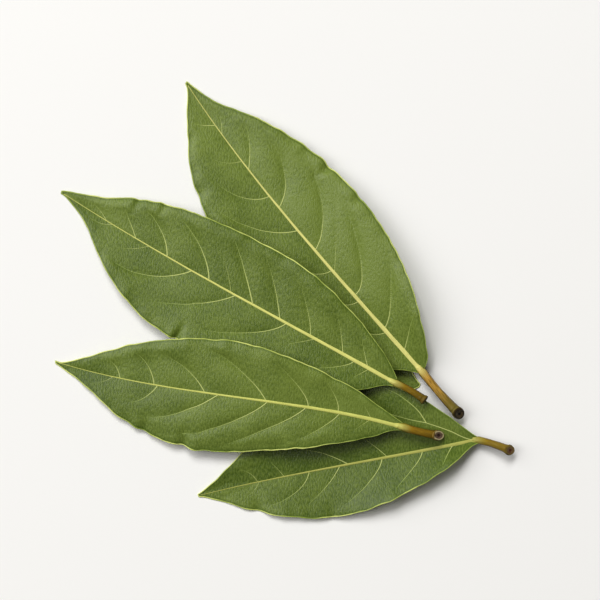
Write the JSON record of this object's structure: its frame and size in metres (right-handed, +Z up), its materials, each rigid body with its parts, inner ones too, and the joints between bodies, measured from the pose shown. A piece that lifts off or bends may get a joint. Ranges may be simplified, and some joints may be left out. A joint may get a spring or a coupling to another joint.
{
  "type": "bunch of bay leaves",
  "caption": "Bunch of picked bay leaves lying in an overlapping fan, with folded pointed blades, pale midribs and brown stalks gathered at one side.",
  "frame": {"origin": "centre of the bunch's bounding box, on the surface it lies on", "axes": "+Z up from the surface; +X towards the side where the stalks are gathered, along the longest extent; +Y completes the frame, towards the highest leaf tip"},
  "size_m": [0.1138, 0.1088, 0.0074],
  "materials": {
    "leaf": "leathery green leaf, satin",
    "vein": "pale yellow-green rib, satin",
    "stalk": "olive-brown stalk, satin",
    "cut_end": "dried dark cut, matte"
  },
  "bodies": {
    "root": {"leaf_top_right": "leaf", "leaf_upper_left": "leaf", "leaf_middle": "leaf", "leaf_bottom": "leaf", "leaf_hidden": "leaf"}
  },
  "joints": []
}
